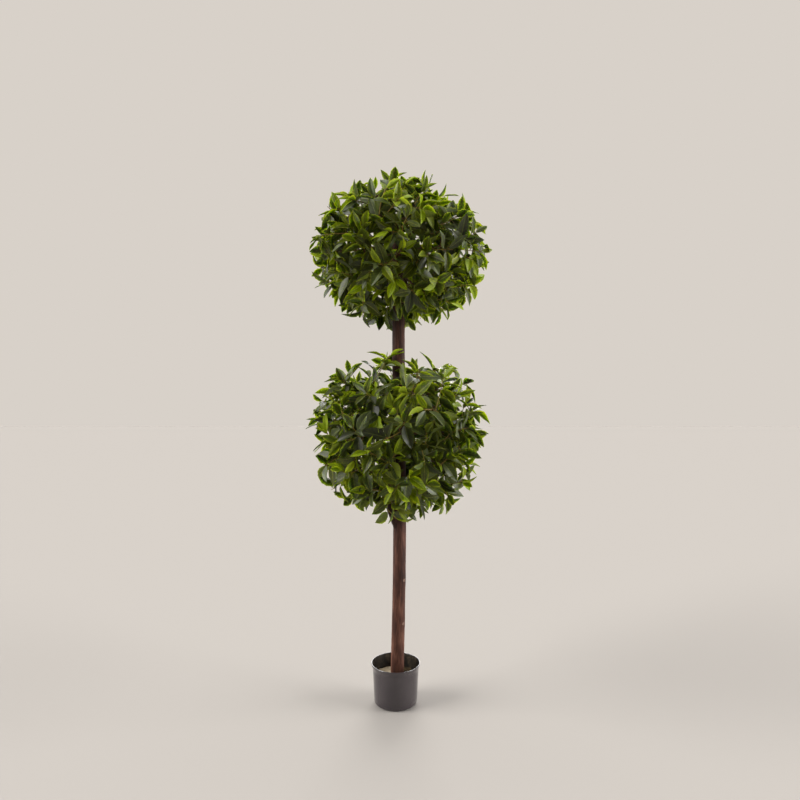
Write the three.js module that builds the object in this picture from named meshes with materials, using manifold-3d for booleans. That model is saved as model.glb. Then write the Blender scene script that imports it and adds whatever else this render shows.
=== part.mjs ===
// Artificial bay tree trained as two balls of leaves on one bare trunk, standing in a small round pot.
// Millimetres, +Z up. The origin is the middle of the pot's flat underside, and the front is towards -Y.
import * as THREE from "three";
import { mergeVertices } from "three/addons/utils/BufferGeometryUtils.js";
import Module from "manifold-3d";

const wasm = await Module();
wasm.setup();

// Driving dimensions
const TOUCH = 0.3; // clearance between pieces that touch
const POT = {
  rimRadius: 77,
  collarRadius: 73.5,
  footRadius: 67,
  height: 125,
  wall: 2.6,
  floor: 3,
  collarHeight: 14,
  footRounding: 9,
  sides: 36,
};
const FILL = { topHeight: 84, ripple: 1.6, rings: 3, socketDepth: 6 };
const TRUNK = {
  footRadius: 20.6,
  topRadius: 19.4,
  topHeight: 1440,
  sides: 12,
  rings: 24,
  ridge: 0.035, // depth of the three long ridges, as a share of the radius
  ridges: 3,
  ridgeTwist: 1.3, // waves that pass one side of the trunk on the way up
};
// The trunk's centreline: a slight lean to the right and a shallow bow.
const TRUNK_LINE = [
  [4.3, 1, FILL.topHeight - FILL.socketDepth],
  [7.8, 2, 250],
  [12.3, 3, 545],
  [11.5, -1, 830],
  [9, -2, 1120],
  [9, 0, TRUNK.topHeight],
];
const KNOTS = [
  { height: 386, turn: -40, swell: 0.09 },
  { height: 250, turn: -41, swell: 0.07 },
];
const KNOT_LENGTH = 26; // how far up and down a knot's swelling reaches
const KNOT_WIDTH = 40; // and how far round the trunk, in degrees

const LEAF = {
  length: 98,
  width: 46,
  thickness: 1.5, // of each half at the midrib
  widestAt: 0.44, // share of the length from the root
  fold: 5, // how far the edges stand above the midrib
  droop: 10, // how far the tip falls
  lengthSpread: 0.16,
  sunk: 3, // how far its root runs on inside the twig
};
const TWIG = { sides: 3, tipRadius: 2.2, twigRadius: 2.8, branchRadius: 6.5, rootRadius: 8 };
const SPRAY = {
  leaves: 6,
  spacing: 9, // between one leaf and the next along the twig
  lowSplay: 84, // degrees from the twig for the lowest leaf
  tipSplay: 30, // and for the last one
  splayJitter: 12,
  rollJitter: 24,
  tries: 8,
  swing: 16, // degrees either way round the twig
  refold: 7, // degrees further from the twig at each try
};
const GOLDEN_TURN = 137.508; // degrees between one direction and the next
const LEAF_CROSSING = 0.5; // cubic millimetres that two leaves may share
const FINEST = 0.05; // detail that is smoothed away after joining
const CORE_SHARE = 0.28; // the core's radius, as a share of the ball's
const FORK_SHARE = 0.57; // where a branch ends, after its twigs have left it
const FORK_STEP = 12; // between one twig and the next along a branch
const TIP_SHARE = 0.87; // where a twig ends
const TIP_SPREAD = 0.06; // either way, from twig to twig
const TRUNK_CLEAR = 13; // degrees round the trunk that have no twig

// Each ball is one clipped mass of leaves. Its radii reach the furthest leaf tips.
const BALLS = [
  {
    name: "lower_foliage",
    centre: [9, 0, 833],
    radii: [293, 293, 286],
    branches: 14,
    twigs: 53,
    spin: 40,
    seed: 15,
    trunkLeaves: [-1, 1], // downwards and upwards
  },
  {
    name: "upper_foliage",
    centre: [11, 0, 1409],
    radii: [295, 295, 259],
    branches: 14,
    twigs: 51,
    spin: 75,
    seed: 30,
    trunkLeaves: [-1],
  },
];
// Limbs that leave the trunk, from inside it to just inside the ball that they carry.
const BOUGHS = [
  {
    name: "fork_bough",
    ball: "lower_foliage",
    line: [
      [12, 0, 540],
      [-20, -9, 618],
      [-40, -16, 676],
    ],
    rootRadius: 14.5,
    tipRadius: 9,
  },
];
const BOUGH = { sides: 8, rings: 7 };

const COLOURS = { pot: 0x2b2a2c, fill: 0xc9b48c, bark: 0x4a3029, leaves: 0x35521f };

const radians = THREE.MathUtils.degToRad;
const vector = (xyz) => new THREE.Vector3(...xyz);

// A repeatable stream of numbers from 0 to 1.
function randomFrom(seed) {
  let state = seed >>> 0;
  return () => {
    state = (state + 0x6d2b79f5) >>> 0;
    let t = Math.imul(state ^ (state >>> 15), 1 | state);
    t = (t + Math.imul(t ^ (t >>> 7), 61 | t)) ^ t;
    return ((t ^ (t >>> 14)) >>> 0) / 4294967296;
  };
}

// A closed three.js geometry as a solid that can be joined and cut.
function solidFrom(geometry) {
  const bare = geometry.clone();
  bare.deleteAttribute("normal");
  bare.deleteAttribute("uv");
  const merged = mergeVertices(bare, 1e-4);
  const mesh = new wasm.Mesh({
    numProp: 3,
    vertProperties: merged.attributes.position.array,
    triVerts: new Uint32Array(merged.index.array),
  });
  return new wasm.Manifold(mesh);
}

// The largest body of a solid as a flat-shaded geometry. Loose scraps and sealed hollows go.
function geometryFrom(solid) {
  const bodies = solid.decompose().sort((a, b) => b.volume() - a.volume());
  const mesh = bodies[0].getMesh();
  const geometry = new THREE.BufferGeometry();
  geometry.setAttribute("position", new THREE.BufferAttribute(mesh.vertProperties, 3));
  geometry.setIndex(new THREE.BufferAttribute(mesh.triVerts, 1));
  const flat = geometry.toNonIndexed();
  flat.computeVertexNormals();
  return flat;
}

// A solid of revolution round Z from [radius, height] points that start and end on the axis.
function turned(profile, sides) {
  const points = profile.map(([radius, height]) => new THREE.Vector2(radius, height));
  return new THREE.LatheGeometry(points, sides).rotateX(Math.PI / 2);
}

// A closed tube along a curve. radiusAt takes the share of the length and the angle round it.
function limbGeometry(curve, radiusAt, sides, rings) {
  const tube = new THREE.CylinderGeometry(1, 1, 1, sides, rings);
  const place = tube.attributes.position;
  const across = new THREE.Vector3(1, 0, 0);
  for (let i = 0; i < place.count; i += 1) {
    const share = place.getY(i) + 0.5;
    const angle = Math.atan2(place.getZ(i), place.getX(i));
    const onAxis = Math.hypot(place.getX(i), place.getZ(i)) < 0.5;
    const radius = onAxis ? 0 : radiusAt(share, angle);
    const along = curve.getTangentAt(share);
    const side = across.clone().addScaledVector(along, -across.dot(along)).normalize();
    const back = new THREE.Vector3().crossVectors(side, along);
    const point = curve.getPointAt(share);
    point.addScaledVector(side, radius * Math.cos(angle));
    point.addScaledVector(back, radius * Math.sin(angle));
    place.setXYZ(i, point.x, point.y, point.z);
  }
  return tube;
}

// The pot's wall radius outside at a height below the collar.
function wallRadius(height) {
  const share = height / (POT.height - POT.collarHeight);
  return THREE.MathUtils.lerp(POT.footRadius, POT.collarRadius - 1, Math.min(share, 1));
}

// Thin pot with a slight taper, a rounded foot and a rim that flares a little.
function potGeometry() {
  const round = POT.footRounding;
  const profile = [
    [0, 0],
    [POT.footRadius - round, 0],
  ];
  for (const degrees of [30, 60, 90]) {
    const angle = radians(degrees);
    const height = round * (1 - Math.cos(angle));
    profile.push([wallRadius(height) - round * (1 - Math.sin(angle)), height]);
  }
  const collarFoot = POT.height - POT.collarHeight;
  profile.push(
    [wallRadius(collarFoot), collarFoot],
    [POT.collarRadius, collarFoot + 2],
    [POT.rimRadius, POT.height - 2],
    [POT.rimRadius - 0.6, POT.height],
    [POT.rimRadius - POT.wall, POT.height],
    [wallRadius(collarFoot) - POT.wall, collarFoot],
    [wallRadius(round) - POT.wall, round],
    [wallRadius(round) - POT.wall - 5, POT.floor],
    [0, POT.floor],
  );
  return turned(profile, POT.sides);
}

// Set plaster that fills the lower part of the pot, with a rippled top and a socket for the trunk.
function fillGeometry(trunkGrown) {
  const foot = POT.floor + TOUCH;
  const inner = (height) => wallRadius(height) - POT.wall - TOUCH - 0.2;
  const profile = [
    [0, foot],
    [inner(POT.footRounding) - 6, foot],
    [inner(POT.footRounding), POT.footRounding + 1],
    [inner(FILL.topHeight), FILL.topHeight],
  ];
  for (let ring = FILL.rings - 1; ring >= 0; ring -= 1) {
    profile.push([(inner(FILL.topHeight) * ring) / FILL.rings, FILL.topHeight]);
  }
  const plug = turned(profile, POT.sides);
  const place = plug.attributes.position;
  for (let i = 0; i < place.count; i += 1) {
    const radius = Math.hypot(place.getX(i), place.getY(i));
    if (place.getZ(i) < FILL.topHeight - 1 || radius > inner(FILL.topHeight) - 1) continue;
    const angle = Math.atan2(place.getY(i), place.getX(i));
    const wave = radius < 1 ? 0 : Math.sin(3 * angle + radius / 9);
    place.setZ(i, FILL.topHeight + FILL.ripple * wave);
  }
  return geometryFrom(solidFrom(plug).subtract(trunkGrown));
}

// The trunk's radius with its taper, its long ridges and its knots, plus a clearance where one is asked for.
function trunkRadius(share, angle, clearance) {
  const height = THREE.MathUtils.lerp(TRUNK_LINE[0][2], TRUNK.topHeight, share);
  let radius = THREE.MathUtils.lerp(TRUNK.footRadius, TRUNK.topRadius, share);
  radius *= 1 + TRUNK.ridge * Math.sin(TRUNK.ridges * angle + TRUNK.ridgeTwist * share * 2 * Math.PI);
  for (const knot of KNOTS) {
    const up = (height - knot.height) / KNOT_LENGTH;
    const turn = Math.atan2(Math.sin(angle + radians(knot.turn)), Math.cos(angle + radians(knot.turn)));
    const round = turn / radians(KNOT_WIDTH);
    radius *= 1 + knot.swell * Math.exp(-up * up - round * round);
  }
  return radius + clearance;
}

function trunkGeometry(clearance) {
  const line = TRUNK_LINE.map(vector);
  line[0].z -= clearance;
  line[line.length - 1].z += clearance;
  const curve = new THREE.CatmullRomCurve3(line);
  const radiusAt = (share, angle) => trunkRadius(share, angle, clearance);
  return limbGeometry(curve, radiusAt, TRUNK.sides, TRUNK.rings);
}

// A bough, or with a clearance the space kept free round it and past its tip.
function boughGeometry(bough, clearance) {
  const line = bough.line.map(vector);
  const [before, tip] = line.slice(-2);
  tip.addScaledVector(tip.clone().sub(before).normalize(), clearance);
  const curve = new THREE.CatmullRomCurve3(line);
  const radiusAt = (share) => THREE.MathUtils.lerp(bough.rootRadius, bough.tipRadius, share) + clearance;
  return limbGeometry(curve, radiusAt, BOUGH.sides, BOUGH.rings);
}

// The turn from straight up to a direction.
function aimedAlong(direction) {
  return new THREE.Quaternion().setFromUnitVectors(new THREE.Vector3(0, 1, 0), direction);
}

// A straight three-sided twig, thicker at its root.
function twigSolid(from, to, rootRadius, tipRadius) {
  const length = from.distanceTo(to);
  const twig = new THREE.CylinderGeometry(tipRadius, rootRadius, length, TWIG.sides);
  twig.translate(0, length / 2, 0);
  twig.applyQuaternion(aimedAlong(to.clone().sub(from).normalize()));
  return solidFrom(twig.translate(from.x, from.y, from.z));
}

// The six corners of a leaf: root, tip, two edges, and the midrib above and below.
function leafCorners(root, sunk, heading, face, size) {
  const up = face.clone().addScaledVector(heading, -face.dot(heading)).normalize();
  const side = new THREE.Vector3().crossVectors(up, heading);
  const at = (x, y, z) =>
    root.clone().addScaledVector(heading, x).addScaledVector(side, y).addScaledVector(up, z);
  const middle = LEAF.length * size * LEAF.widestAt;
  const half = (LEAF.width * size) / 2;
  return [
    root.clone().add(sunk),
    at(LEAF.length * size, 0, -LEAF.droop * size),
    at(middle, half, LEAF.fold * size),
    at(middle, -half, LEAF.fold * size),
    at(middle, 0, LEAF.thickness),
    at(middle, 0, -LEAF.thickness),
  ];
}

const LEAF_FACES = [0, 4, 2, 2, 4, 1, 1, 4, 3, 3, 4, 0, 0, 2, 5, 2, 1, 5, 1, 3, 5, 3, 0, 5];

function leafSolid(corners) {
  const geometry = new THREE.BufferGeometry().setFromPoints(corners);
  geometry.setIndex(LEAF_FACES);
  return solidFrom(geometry);
}

// Directions spread evenly over a ball.
function spreadDirections(count, spin) {
  return Array.from({ length: count }, (_, i) => {
    const up = 1 - (2 * i + 1) / count;
    const turn = radians(spin + i * GOLDEN_TURN);
    const level = Math.sqrt(1 - up * up);
    return new THREE.Vector3(level * Math.cos(turn), level * Math.sin(turn), up);
  });
}

// A point of a ball, from a direction and a share of the way out to its furthest tips.
function ballPoint(ball, direction, share) {
  return direction.clone().multiply(vector(ball.radii)).multiplyScalar(share).add(vector(ball.centre));
}

function insideBall(ball, point) {
  return point.clone().sub(vector(ball.centre)).divide(vector(ball.radii)).length() < 1;
}

// A leaf that keeps to the ball, is clear of the limbs and hardly crosses the leaves before it.
function leafFits(corners, leaf, ball, limbs, placed) {
  if (!corners.every((corner) => insideBall(ball, corner))) return false;
  if (!leaf.intersect(limbs).isEmpty()) return false;
  const reach = LEAF.length * 1.2;
  return placed.every((other) => {
    if (other.root.distanceTo(corners[0]) > 2 * reach) return true;
    return leaf.intersect(other.leaf).volume() < LEAF_CROSSING;
  });
}

// One leaf, moved to the twig's next face and folded further from it at each try until it fits.
function addLeaf(root, outward, face, share, ball, limbs, placed, random) {
  const size = 1 + LEAF.lengthSpread * (2 * random() - 1);
  const jitter = SPRAY.splayJitter * (2 * random() - 1);
  const swing = SPRAY.swing * (2 * random() - 1);
  const roll = radians(SPRAY.rollJitter * (2 * random() - 1));
  for (let attempt = 0; attempt < SPRAY.tries; attempt += 1) {
    const turn = radians((360 / TWIG.sides) * (face + attempt + 0.5) + swing);
    const open = THREE.MathUtils.lerp(SPRAY.lowSplay, SPRAY.tipSplay, share) + jitter;
    const splay = radians(open + SPRAY.refold * attempt);
    const level = new THREE.Vector3(Math.sin(turn), 0, Math.cos(turn)).applyQuaternion(aimedAlong(outward));
    const heading = outward.clone().multiplyScalar(Math.cos(splay)).addScaledVector(level, Math.sin(splay));
    const upper = outward.clone().addScaledVector(level, -0.3).applyAxisAngle(heading, roll);
    const sunk = outward.clone().multiplyScalar(-LEAF.sunk);
    const corners = leafCorners(root, sunk, heading, upper, size);
    const leaf = leafSolid(corners);
    if (!leafFits(corners, leaf, ball, limbs, placed)) continue;
    placed.push({ root: corners[0], leaf });
    return;
  }
}

// A twig with its leaves, from a fork to just under the ball's surface.
function addSpray(fork, tip, ball, limbs, twigs, placed, random) {
  const twig = twigSolid(fork, tip, TWIG.twigRadius, TWIG.tipRadius);
  if (!twig.intersect(limbs).isEmpty()) return;
  twigs.push(twig);
  const outward = tip.clone().sub(fork).normalize();
  for (let k = 0; k < SPRAY.leaves; k += 1) {
    const back = SPRAY.spacing * (SPRAY.leaves - 1 - k) + TWIG.tipRadius;
    const root = tip.clone().addScaledVector(outward, -back);
    addLeaf(root, outward, 2 * k, k / (SPRAY.leaves - 1), ball, limbs, placed, random);
  }
}

function nearestBranch(branches, point) {
  const away = (branch) => branch.end.distanceTo(point);
  return branches.reduce((near, one) => (away(one) < away(near) ? one : near));
}

// A ball of leaves: branches stand out of a core round the trunk and fork into twigs that end in sprays.
function foliageSolid(ball, limbs) {
  const random = randomFrom(ball.seed);
  const core = new THREE.IcosahedronGeometry(CORE_SHARE, 1);
  core.scale(...ball.radii).translate(...ball.centre);
  const twigs = [solidFrom(core).subtract(limbs)];
  const placed = [];
  for (const bough of BOUGHS.filter((one) => one.ball === ball.name)) {
    const tip = vector(bough.line[bough.line.length - 1]);
    twigs.push(twigSolid(vector(ball.centre).lerp(tip, 0.4), tip, TWIG.rootRadius, bough.tipRadius));
  }
  const branches = spreadDirections(ball.branches, ball.spin).map((direction) => {
    const root = ballPoint(ball, direction, CORE_SHARE * 0.85);
    const end = ballPoint(ball, direction, FORK_SHARE);
    twigs.push(twigSolid(root, end, TWIG.rootRadius, TWIG.branchRadius));
    return { end, back: root.sub(end).normalize(), forks: 0 };
  });
  for (const direction of spreadDirections(ball.twigs, ball.spin)) {
    const clear = Math.cos(radians(TRUNK_CLEAR));
    if (ball.trunkLeaves.some((side) => direction.z * side > clear)) continue;
    const reach = TIP_SHARE + TIP_SPREAD * (2 * random() - 1);
    const tip = ballPoint(ball, direction, reach);
    const branch = nearestBranch(branches, tip);
    const fork = branch.end.clone().addScaledVector(branch.back, FORK_STEP * (branch.forks + 0.3));
    branch.forks += 1;
    addSpray(fork, tip, ball, limbs, twigs, placed, random);
  }
  const leaves = placed.map((one) => one.leaf);
  return wasm.Manifold.union([...twigs, ...leaves]).subtract(limbs).simplify(FINEST);
}

function addNode(group, name, geometry, colour, roughness) {
  const material = new THREE.MeshStandardMaterial({ color: colour, roughness, metalness: 0 });
  const mesh = new THREE.Mesh(geometry, material);
  mesh.name = name;
  group.add(mesh);
}

function buildTree() {
  const tree = new THREE.Group();
  const trunkGrown = solidFrom(trunkGeometry(TOUCH));
  addNode(tree, "pot", potGeometry(), COLOURS.pot, 0.4);
  addNode(tree, "plaster_fill", fillGeometry(trunkGrown), COLOURS.fill, 0.9);
  addNode(tree, "trunk", trunkGeometry(0), COLOURS.bark, 0.75);
  const grown = [trunkGrown];
  for (const bough of BOUGHS) {
    const cut = solidFrom(boughGeometry(bough, 0)).subtract(trunkGrown);
    addNode(tree, bough.name, geometryFrom(cut), COLOURS.bark, 0.75);
    grown.push(solidFrom(boughGeometry(bough, TOUCH)));
  }
  const limbs = wasm.Manifold.union(grown);
  for (const ball of BALLS) {
    addNode(tree, ball.name, geometryFrom(foliageSolid(ball, limbs)), COLOURS.leaves, 0.55);
  }
  return tree;
}

export default buildTree();
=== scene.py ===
"""Looks of the artificial bay topiary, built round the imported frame: pot, plaster, bark, twigs and leaves."""
import math
import random

import bpy
import numpy as np
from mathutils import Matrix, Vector, noise


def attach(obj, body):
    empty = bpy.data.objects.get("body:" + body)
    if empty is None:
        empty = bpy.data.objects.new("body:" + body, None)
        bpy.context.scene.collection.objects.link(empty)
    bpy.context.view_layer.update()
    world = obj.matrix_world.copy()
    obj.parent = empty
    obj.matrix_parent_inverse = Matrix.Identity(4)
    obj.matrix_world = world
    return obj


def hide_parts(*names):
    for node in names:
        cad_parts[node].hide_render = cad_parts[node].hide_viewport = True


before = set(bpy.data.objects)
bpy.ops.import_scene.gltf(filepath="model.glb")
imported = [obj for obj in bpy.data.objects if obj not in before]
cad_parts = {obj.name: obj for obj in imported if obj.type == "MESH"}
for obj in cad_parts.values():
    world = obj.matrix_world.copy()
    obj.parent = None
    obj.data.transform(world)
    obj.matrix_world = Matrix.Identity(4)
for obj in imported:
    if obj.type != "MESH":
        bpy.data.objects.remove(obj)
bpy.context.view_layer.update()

# Sizes shared with the solids, in metres
POT_RIM_RADIUS = 0.077
POT_COLLAR_RADIUS = 0.0735
POT_FOOT_RADIUS = 0.067
POT_HEIGHT = 0.125
POT_COLLAR = 0.014
POT_WALL = 0.0026
POT_FLOOR = 0.003
POT_FOOT_ROUND = 0.009
POT_STEP = 0.0105
POT_TURNS = 128
FILL_TOP = 0.084
PLASTER_GAP = 0.0004
PLASTER_FOOT = 0.011
TRUNK_FOOT_RADIUS = 0.0206
TRUNK_TIP_RADIUS = 0.0194
TRUNK_LINE = [
    (0.0043, 0.001, 0.078),
    (0.0078, 0.002, 0.250),
    (0.0123, 0.003, 0.545),
    (0.0115, -0.001, 0.830),
    (0.0090, -0.002, 1.120),
    (0.0090, 0.000, 1.440),
]
BOUGH_LINE = [(0.012, 0.0, 0.540), (-0.020, -0.009, 0.618), (-0.040, -0.016, 0.676)]
BOUGH_ROOT_RADIUS = 0.0145
BOUGH_TIP_RADIUS = 0.009
TRUNK_RINGS = 620
TRUNK_SIDES = 84
BOUGH_RINGS = 90
BOUGH_SIDES = 48
# Fineness of the bark's furrows, and how deep the bough's are beside the trunk's
TRUNK_GRAIN = 170
BOUGH_GRAIN = 230
BOUGH_FURROWS = 0.8
# Ridges of the trunk: their number, height as a share of the radius and turns from foot to tip
RIDGES = 3
RIDGE_HEIGHT = 0.035
RIDGE_TURNS = 1.3
# Knots of the trunk: height, turn in degrees and swelling as a share of the radius
KNOTS = [(0.386, -40, 0.09), (0.250, -41, 0.07)]
# How far a knot swells up and down and how many degrees round the trunk
KNOT_LENGTH = 0.026
KNOT_WIDTH = 40
# A knot's scar: its radius, the depth of the pit at its middle and the height of its rim
KNOT_SCAR = 0.0052
KNOT_PIT = 0.0022
KNOT_RIM = 0.0006

# The two balls of leaves
# top_heavy: how much wider than an even ball the leaves reach near its top, and narrower near its foot
# trunk_sides: where the trunk comes through, below or above. painted_shade: how dark its leaves are beside the
# list's, a painted shade
BALLS = [
    {
        "name": "lower", "node": "lower_foliage",
        "centre": (0.009, 0.0, 0.833), "radii": (0.293, 0.293, 0.286), "top_heavy": 0.10,
        # The lower ball's leaf colours are scaled down: painted shade under the upper ball.
        "spin": 40, "seed": 41, "trunk_sides": (-1, 1), "painted_shade": 0.88,
    },
    {
        "name": "upper", "node": "upper_foliage",
        "centre": (0.011, 0.0, 1.420), "radii": (0.294, 0.294, 0.256), "top_heavy": -0.06,
        "spin": 75, "seed": 58, "trunk_sides": (-1,), "painted_shade": 1.0,
    },
]

# How the growth goes on from the solids' rule. Shares are of the way from a ball's centre to its outside
GOLDEN_TURN = 137.508
BRANCHES = 14
BRANCH_SHARE = 0.57
# How far up or down the trunk a branch starts, as a share of its tip's height from the centre
BRANCH_START = 0.30
# A branch starts at the bough's tip where the cosine between their directions is more than this
BOUGH_SECTOR = 0.6
TWIGS = 53
TWIG_SHARE = 0.70
# Outer and inner shoots: how many, how far out they end, and degrees that they are turned on from the twigs
SHOOTS = 172
SHOOT_SHARE = 0.77
SHOOT_SPIN = 20
INNER_SHOOTS = 32
INNER_SHARE = 0.55
INNER_SPIN = 65
# How far a shoot's reach varies, how far its tip strays to any side, and its least length in metres
SHOOT_SPREAD = 0.17
SHOOT_SCATTER = 0.008
SHOOT_LEAST = 0.03
# A stem's forks: the step between two, as a share of its length, and how many before it starts again
FORK_STEP = 0.11
FORKS = 6
# Degrees round the trunk without growth, and how far shoots and leaves keep from the limbs
TRUNK_CLEAR = 9
SHOOT_CLEAR = 0.012
LEAF_CLEAR = 0.003
# How far a stalk runs into its leaf
STALK_INTO_LEAF = 0.002
# The kinds of stem: radii at the root and the tip, sides, points along it, sideways bow and material number
OLD_WOOD = 0
YOUNG_WOOD = 1
STEMS = {
    "branch": {"radii": (0.0048, 0.0030), "sides": 7, "points": 9, "bow": 0.012, "wood": OLD_WOOD},
    "twig": {"radii": (0.0027, 0.0017), "sides": 6, "points": 8, "bow": 0.010, "wood": OLD_WOOD},
    "shoot": {"radii": (0.0015, 0.0009), "sides": 5, "points": 6, "bow": 0.005, "wood": YOUNG_WOOD},
    "stalk": {"radii": (0.0008, 0.0006), "sides": 4, "points": 3, "bow": 0.0004, "wood": YOUNG_WOOD},
}

# Sprays: their leaves, the step between two, and the share of the way up where the brighter ones begin
SPRAY_LEAVES = 7
SPRAY_STEP = 0.0062
SPRAY_TIP = 0.55
# From a spray's lowest leaf to its tip: length and width beside the usual, and degrees from the shoot
SPRAY_LENGTH = (1.06, 0.76)
SPRAY_WIDTH = (1.05, 0.84)
SPRAY_SPLAY = (76, 16)
# How much single leaves differ: length, width, degrees from the shoot, radians of roll and length of stalk
ANY_LENGTH = (0.84, 1.12)
ANY_WIDTH = (0.88, 1.1)
SPLAY_SPREAD = 16
ROLL_SPREAD = 0.65
STALK_LENGTH = (0.004, 0.008)
# A leaf that doesn't fit is tried again, each time turned and splayed by more degrees
LEAF_TRIES = 4
TRY_TURN = 9
TRY_SPLAY = 8
# How far a leaf droops, and how its upper face looks: on along the shoot, in towards it and upwards
LEAF_DROOP = 0.2
FACE_ON = 0.8
FACE_IN = 0.4
FACE_UP = 0.6

# Leaves
LEAF_FORMS = 24
FORM_SEED = 5
LEAF_LENGTH = 0.065
LEAF_WIDTH = 0.0308
LEAF_STATIONS = (0.045, 0.13, 0.24, 0.36, 0.48, 0.60, 0.72, 0.84, 0.94)
# Places across a leaf, as shares of its half width: the upper face, then back along the underside
LEAF_UPPER = (1.0, 0.55, 0.08, -0.08, -0.55, -1.0)
LEAF_UNDER = (-0.55, -0.08, 0.08, 0.55)
LEAF_RING = len(LEAF_UPPER) + len(LEAF_UNDER)
# Shares of a leaf's length: how thick its blade and its midrib are, and how high the relief of its face
LEAF_BLADE = 0.006
LEAF_RIB = 0.013
LEAF_RELIEF = 0.006
# Edges: how much they swell at every other station, and how far they lie nearer to the tip than the midrib
LEAF_SWELL = 0.035
LEAF_SWEEP = 0.05
# Ruffle of the edges: radians along the leaf, and between its two sides
RUFFLE = 9
RUFFLE_LAG = 2.2
# Side veins: how many, and how far one slants towards the tip by the leaf's edge
SIDE_VEINS = 7
VEIN_SLANT = 0.20
# Each kind of leaf: darker and lighter green of its face, its midrib and its underside
LEAF_COLOURS = {
    "dark": ((29, 33, 0), (44, 49, 2), (76, 84, 32), (59, 67, 18)),
    "deep": ((51, 57, 0), (70, 77, 4), (105, 112, 40), (81, 90, 21)),
    # sheen_grey: greyish green base colours that stand for a bluish-grey sheen, a painted sheen, beside the
    # kind's real gloss.
    "sheen_grey": ((52, 61, 14), (73, 84, 27), (108, 118, 60), (79, 91, 30)),
    "mid": ((82, 94, 0), (108, 120, 2), (140, 149, 42), (104, 116, 19)),
    "bright": ((102, 121, 0), (129, 148, 2), (158, 171, 48), (122, 136, 19)),
    "young": ((119, 140, 0), (145, 166, 4), (172, 186, 58), (138, 151, 25)),
}
# Roughness of the leaves' faces, and how strongly each kind shines
LEAF_ROUGHNESS = 0.43
LEAF_GLOSS = {"dark": 0.36, "deep": 0.34, "sheen_grey": 0.52, "mid": 0.36, "bright": 0.3, "young": 0.26}
# Sprays differ in tone: the kinds of their lower leaves, then those at their tips
MOOD_KINDS = {
    "dark": (("dark", "deep", "dark"), ("deep", "sheen_grey")),
    "plain": (("deep", "sheen_grey", "dark"), ("mid", "deep", "sheen_grey")),
    "fresh": (("deep", "sheen_grey"), ("bright", "young", "mid")),
    "light": (("mid", "sheen_grey"), ("young", "bright")),
}
MOODS = ("dark", "plain", "fresh", "light")
MOOD_SHARES = (0.27, 0.30, 0.27, 0.16)

# The photograph's camera: level, with the horizon at half the height of the frame
CAMERA_X = 0.0136
CAMERA_HEIGHT = 0.951
CAMERA_DISTANCE = 1.92
FOCAL_PIXELS = 609
FRAME_PIXELS = 800
SENSOR = 36.0

# Studio: soft lights by name, place, strength and colour
LIGHTS = (
    ("key", (-2.4, -0.5, 1.35), 3.1, (1.0, 0.985, 0.96)),
    ("side", (3.0, -0.35, 0.9), 3.3, (1.0, 0.99, 0.98)),
    ("rim", (0.3, 3.0, 1.2), 2.6, (1.0, 0.99, 0.97)),
)
LIGHT_SPREAD = 40
# Light of the surround: places from the front, 0, to the back, 1, and its strength there
SURROUND = ((0.0, 0.07), (0.30, 0.12), (0.55, 0.80), (1.0, 1.2))
WALL_COLOUR = (216, 209, 201)
FLOOR_COLOUR = (0.414, 0.386, 0.359)
FLOOR_SIZE = 40

# Edges that turn by more degrees than this stay sharp
CREASE = 60

UPWARD = np.array((0.0, 0.0, 1.0))
TO_THE_RIGHT = np.array((1.0, 0.0, 0.0))


def lerp(a, b, share):
    return a + (b - a) * share


def paint(*shown):
    """The shader's colour for red, green and blue as they show on a screen, 0 to 255."""
    return tuple((c / 255 / 12.92) if c < 11 else ((c / 255 + 0.055) / 1.055) ** 2.4 for c in shown)


def add_camera():
    camera = bpy.data.objects.new("camera", bpy.data.cameras.new("camera"))
    bpy.context.scene.collection.objects.link(camera)
    camera.data.sensor_width = SENSOR
    camera.data.lens = FOCAL_PIXELS / FRAME_PIXELS * SENSOR
    camera.location = (CAMERA_X, -CAMERA_DISTANCE, CAMERA_HEIGHT)
    camera.rotation_euler = (math.radians(90), 0, 0)
    bpy.context.scene.camera = camera


def add_light(name, place, strength, colour):
    """Soft light from one side, as from a wide panel a long way off."""
    light = bpy.data.objects.new(name, bpy.data.lights.new(name, "SUN"))
    light.data.energy = strength
    light.data.angle = math.radians(LIGHT_SPREAD)
    light.data.color = colour
    light.location = place
    light.rotation_euler = (-Vector(place)).to_track_quat("-Z", "Y").to_euler()
    bpy.context.scene.collection.objects.link(light)


def add_world():
    """A plain pale surround, which lights the tree from the sides and the back more than from the front."""
    world = bpy.data.worlds.new("studio")
    bpy.context.scene.world = world
    world.use_nodes = True
    tree = world.node_tree
    seen = tree.nodes["Background"]
    seen.inputs["Color"].default_value = (*paint(*WALL_COLOUR), 1)
    lit = tree.nodes.new("ShaderNodeBackground")
    direction = tree.nodes.new("ShaderNodeTexCoord")
    parts = tree.nodes.new("ShaderNodeSeparateXYZ")
    tree.links.new(direction.outputs["Generated"], parts.inputs["Vector"])
    depth = range_node(tree, parts.outputs["Y"], -1, 1, 0, 1)
    stops = [(place, (light, light, light)) for place, light in SURROUND]
    tree.links.new(ramp_node(tree, depth, stops), lit.inputs["Color"])
    path = tree.nodes.new("ShaderNodeLightPath")
    either = tree.nodes.new("ShaderNodeMixShader")
    tree.links.new(path.outputs["Is Camera Ray"], either.inputs["Fac"])
    tree.links.new(lit.outputs["Background"], either.inputs[1])
    tree.links.new(seen.outputs["Background"], either.inputs[2])
    tree.links.new(either.outputs["Shader"], tree.nodes["World Output"].inputs["Surface"])


def add_studio():
    bpy.context.scene.view_settings.view_transform = "Standard"
    add_world()
    for light in LIGHTS:
        add_light(*light)


# Mesh helpers


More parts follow.
